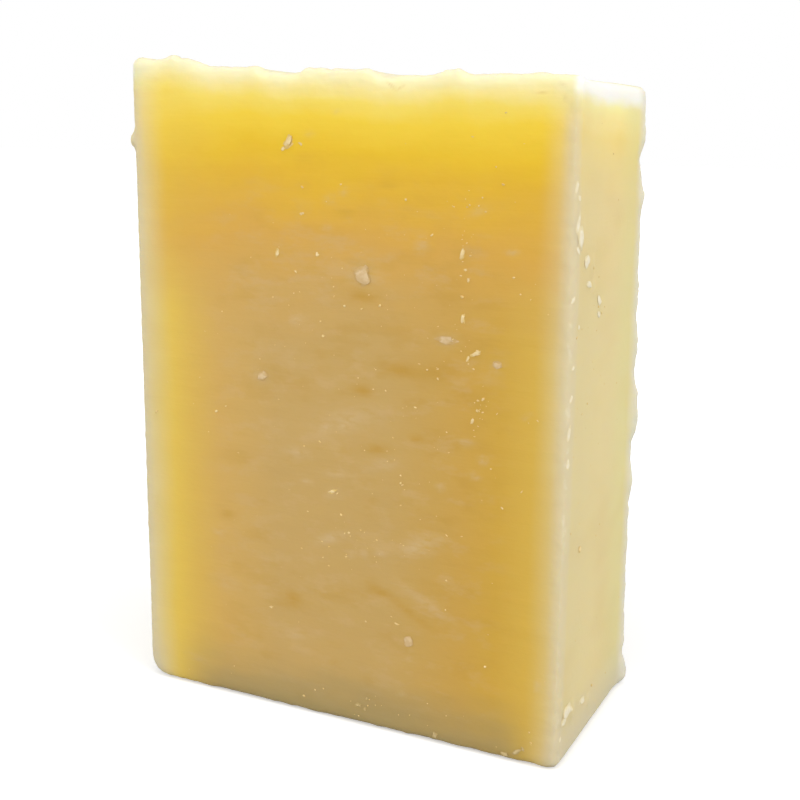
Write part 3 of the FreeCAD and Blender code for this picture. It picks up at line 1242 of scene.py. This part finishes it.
CHALKY = CrumbFinish("chalky_crumb", (241, 217, 162), (233, 204, 144), (221, 188, 110))
WAXY = CrumbFinish("waxy_crumb", (222, 194, 149), (214, 182, 131), (204, 168, 104))
CREAMY = CrumbFinish("creamy_crumb", (241, 231, 205), (235, 222, 187), (228, 212, 166))
FOOT = CrumbFinish("foot_crumb", (216, 194, 142), (204, 178, 122), (184, 158, 100))
GOLDEN = CrumbFinish("golden_speck", (240, 216, 156), (228, 196, 124), (222, 190, 120))

CHALKY_CRUMBS = crumbs_on(
    Wall.FRONT,
    (0.387, 0.904, 1.5, 0.9, 38), (0.374, 0.893, 0.7, 0.35, 30), (0.413, 0.901, 0.5, 0.22, -35),
    (0.416, 0.8, 0.5, 0.35, 20), (0.358, 0.74, 0.85, 0.42, 72), (0.452, 0.741, 0.5, 0.35, 85),
    (0.769, 0.756, 1.0, 0.42, 80), (0.776, 0.733, 0.4, 0.25, 20), (0.782, 0.719, 0.4, 0.3, 60),
    (0.773, 0.664, 0.9, 0.42, 86), (0.8, 0.614, 1.2, 0.42, 24), (0.785, 0.607, 0.75, 0.3, 66),
    (0.805, 0.619, 0.5, 0.3, -12), (0.797, 0.517, 0.75, 0.4, 76), (0.806, 0.533, 0.4, 0.3, 50),
    (0.818, 0.551, 0.4, 0.3, 30), (0.808, 0.548, 0.3, 0.25, 0), (0.486, 0.379, 1.1, 0.36, 24),
    (0.526, 0.317, 0.45, 0.3, 30), (0.334, 0.169, 0.5, 0.35, 10), (0.638, 0.184, 0.6, 0.26, -20),
) + crumbs_on(Wall.RIGHT, (0.192, 0.327, 0.6, 0.8, 40))
FOOT_CRUMBS = crumbs_on(
    Wall.FRONT,
    (0.731, 0.014, 0.9, 0.7, 70), (0.913, 0.02, 1.1, 0.5, 35), (0.926, 0.026, 0.5, 0.35, -40),
    (0.886, 0.01, 0.9, 0.6, 0), (0.549, 0.034, 0.7, 0.5, 30), (0.566, 0.03, 0.5, 0.35, 80),
    (0.57, 0.048, 0.4, 0.3, 80),
)
CREAMY_CRUMBS = crumbs_on(
    Wall.RIGHT,
    (0.014, 0.852, 1.3, 0.3, 86), (0.026, 0.838, 0.7, 0.45, 110), (0.028, 0.806, 2.4, 0.55, 80),
    (0.052, 0.784, 2.6, 1.4, 96), (0.03, 0.768, 1.1, 0.45, 122), (0.146, 0.749, 1.4, 1.7, 92),
    (0.186, 0.716, 0.8, 1.7, 80), (0.334, 0.688, 0.9, 1.6, 60), (0.341, 0.667, 0.7, 1.1, 60),
    (0.012, 0.701, 0.9, 0.3, 80), (0.062, 0.662, 0.6, 0.6, 60), (0.022, 0.607, 0.6, 0.4, 60),
    (0.02, 0.564, 0.9, 0.4, 70), (0.014, 0.515, 1.8, 0.4, 88), (0.015, 0.47, 1.2, 0.4, 92),
    (0.096, 0.085, 1.7, 3.0, 90), (0.062, 0.074, 1.1, 1.8, 100), (0.313, 0.068, 1.0, 1.9, 85),
    (0.026, 0.05, 0.7, 0.35, 85),
)
WAXY_CRUMBS = crumbs_on(
    Wall.FRONT,
    (0.554, 0.716, 2.2, 1.9, 8), (0.739, 0.631, 2.3, 0.8, -2), (0.846, 0.602, 1.1, 0.7, -10),
    (0.318, 0.547, 1.7, 1.2, 18), (0.668, 0.16, 1.1, 1.4, 0),
)
MARKS = marks_of(
    Tint.DRAG,
    (0.433, 0.915, 2.0, 1.0, 0.18, 10), (0.496, 0.948, 1.2, 0.6, 0.2), (0.512, 0.836, 1.3, 1.1, 0.4),
    (0.48, 0.822, 1.9, 1.3, 0.32), (0.474, 0.781, 1.5, 0.9, 0.35), (0.799, 0.815, 3.0, 1.2, 0.28, 15),
    (0.456, 0.727, 1.0, 0.8, 0.4), (0.554, 0.716, 4.2, 3.0, 0.45), (0.682, 0.765, 1.8, 2.2, 0.5),
    (0.869, 0.761, 1.6, 0.8, 0.5), (0.4, 0.64, 2.0, 1.3, 0.6), (0.739, 0.631, 3.6, 1.6, 0.4),
    (0.848, 0.601, 2.0, 1.4, 0.45), (0.318, 0.547, 2.6, 2.0, 0.5), (0.909, 0.533, 1.3, 0.5, 0.6, 15),
    (0.526, 0.497, 11.0, 3.6, 0.38, 12), (0.514, 0.484, 1.6, 1.3, 0.55), (0.467, 0.476, 1.5, 1.1, 0.5),
    (0.783, 0.484, 2.6, 0.9, 0.5), (0.822, 0.461, 1.3, 1.1, 0.6), (0.405, 0.433, 4.6, 1.5, 0.55, -5),
    (0.605, 0.434, 5.0, 1.7, 0.45, 12), (0.806, 0.436, 1.6, 0.8, 0.5, -25), (0.732, 0.412, 1.4, 1.0, 0.5),
    (0.495, 0.407, 4.0, 1.0, 0.45, 4), (0.423, 0.388, 1.8, 0.8, 0.5), (0.486, 0.379, 2.4, 1.0, 0.4, 24),
    (0.482, 0.303, 6.4, 1.5, 0.6, 20), (0.53, 0.283, 1.6, 0.9, 0.5), (0.561, 0.289, 1.0, 1.4, 0.6),
    (0.598, 0.293, 1.8, 0.9, 0.55, -10), (0.689, 0.315, 8.0, 2.8, 0.5, 26), (0.203, 0.283, 1.9, 1.3, 0.5),
    (0.222, 0.195, 4.5, 2.6, 0.28, -12), (0.701, 0.228, 9.5, 1.6, 0.42, -27),
    (0.395, 0.13, 4.8, 1.8, 0.38, 3), (0.953, 0.132, 0.8, 2.4, 0.5), (0.65, 0.069, 1.6, 1.0, 0.5),
    (0.136, 0.05, 4.0, 1.2, 0.35, -12),
) + marks_of(
    Tint.AMBER,
    (0.607, 0.847, 2.6, 0.9, 0.25, 0), (0.517, 0.804, 3.0, 0.9, 0.4, 0), (0.552, 0.684, 4.6, 2.0, 0.6, -3),
    (0.645, 0.58, 7.0, 2.2, 0.6, -4), (0.722, 0.584, 5.6, 2.4, 0.5, 4), (0.556, 0.543, 3.8, 1.7, 0.7, -4),
    (0.589, 0.456, 4.2, 1.5, 0.65, 4), (0.678, 0.479, 2.4, 1.2, 0.55, 0), (0.598, 0.23, 4.2, 1.6, 0.6, -8),
    (0.668, 0.207, 9.0, 1.2, 0.5, -29), (0.386, 0.192, 2.8, 3.0, 0.55, 0), (0.225, 0.314, 2.6, 1.4, 0.45, 0),
    (0.43, 0.88, 5.0, 1.4, 0.15, 0), (0.612, 0.984, 1.8, 0.35, 0.3, -38), (0.634, 0.981, 1.3, 0.3, 0.25, 30),
    (0.96, 0.968, 0.9, 0.6, 0.35, -60), (0.915, 0.974, 1.6, 0.35, 0.22, 5),
    (0.955, 0.985, 1.2, 0.4, 0.25, -20),
)
DRIFTS = (
    Drift(Wall.FRONT, 0.62, 0.6, (0.2, 0.17), 120),
    Drift(Wall.FRONT, 0.5, 0.45, (0.28, 0.25), 90),
    Drift(Wall.FRONT, 0.775, 0.725, (0.008, 0.035), 12),
    Drift(Wall.FRONT, 0.81, 0.535, (0.012, 0.022), 12),
    Drift(Wall.FRONT, 0.79, 0.815, (0.035, 0.018), 16),
    Drift(Wall.FRONT, 0.56, 0.3, (0.06, 0.014), 14),
    Drift(Wall.FRONT, 0.7, 0.03, (0.2, 0.02), 26),
    Drift(Wall.RIGHT, 0.25, 0.66, (0.18, 0.16), 40),
    Drift(Wall.RIGHT, 0.4, 0.3, (0.28, 0.22), 24),
    Drift(Wall.LEFT, 0.5, 0.5, (0.25, 0.25), 60),
    Drift(Wall.BACK, 0.45, 0.55, (0.25, 0.25), 160),
)


def main() -> None:
    """Builds every piece in order and reports it."""
    logging.basicConfig(level=logging.INFO, format="%(name)s: %(message)s")
    form = SlabForm.felt_on(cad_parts[SOLID])
    aim = Vector((0, 0, form.head / 2))
    View().place()
    Studio(aim).build()

    slab = Slab(form, MARKS)
    bar = slab.build()
    slab.dress()
    log.info("%s: %d faces", bar.name, len(bar.data.polygons))

    skin = Skin(bar)
    specks = SpeckField(form, DRIFTS).specks()
    fields = (
        CrumbField("chalky_crumbs", form, skin, CHALKY, CHALKY_CRUMBS, seed=3),
        CrumbField("foot_crumbs", form, skin, FOOT, FOOT_CRUMBS, seed=4),
        CrumbField(
            "creamy_crumbs", form, skin, CREAMY, CREAMY_CRUMBS, thickness=0.12, sunk=0.4, ragged=0.25, seed=6,
        ),
        CrumbField(
            "waxy_crumbs", form, skin, WAXY, WAXY_CRUMBS, thickness=0.08, sunk=0.2, ragged=0.4, seed=5,
        ),
        CrumbField(
            "golden_specks", form, skin, GOLDEN, specks, facets=1, thickness=0.5, ragged=0.35, seed=9,
        ),
    )
    for crumbs in fields:
        piece = crumbs.build()
        crumbs.dress(piece)
        log.info("%s: %d crumbs, %d faces", piece.name, len(crumbs.crumbs), len(piece.data.polygons))


if __name__ == "__main__":
    main()
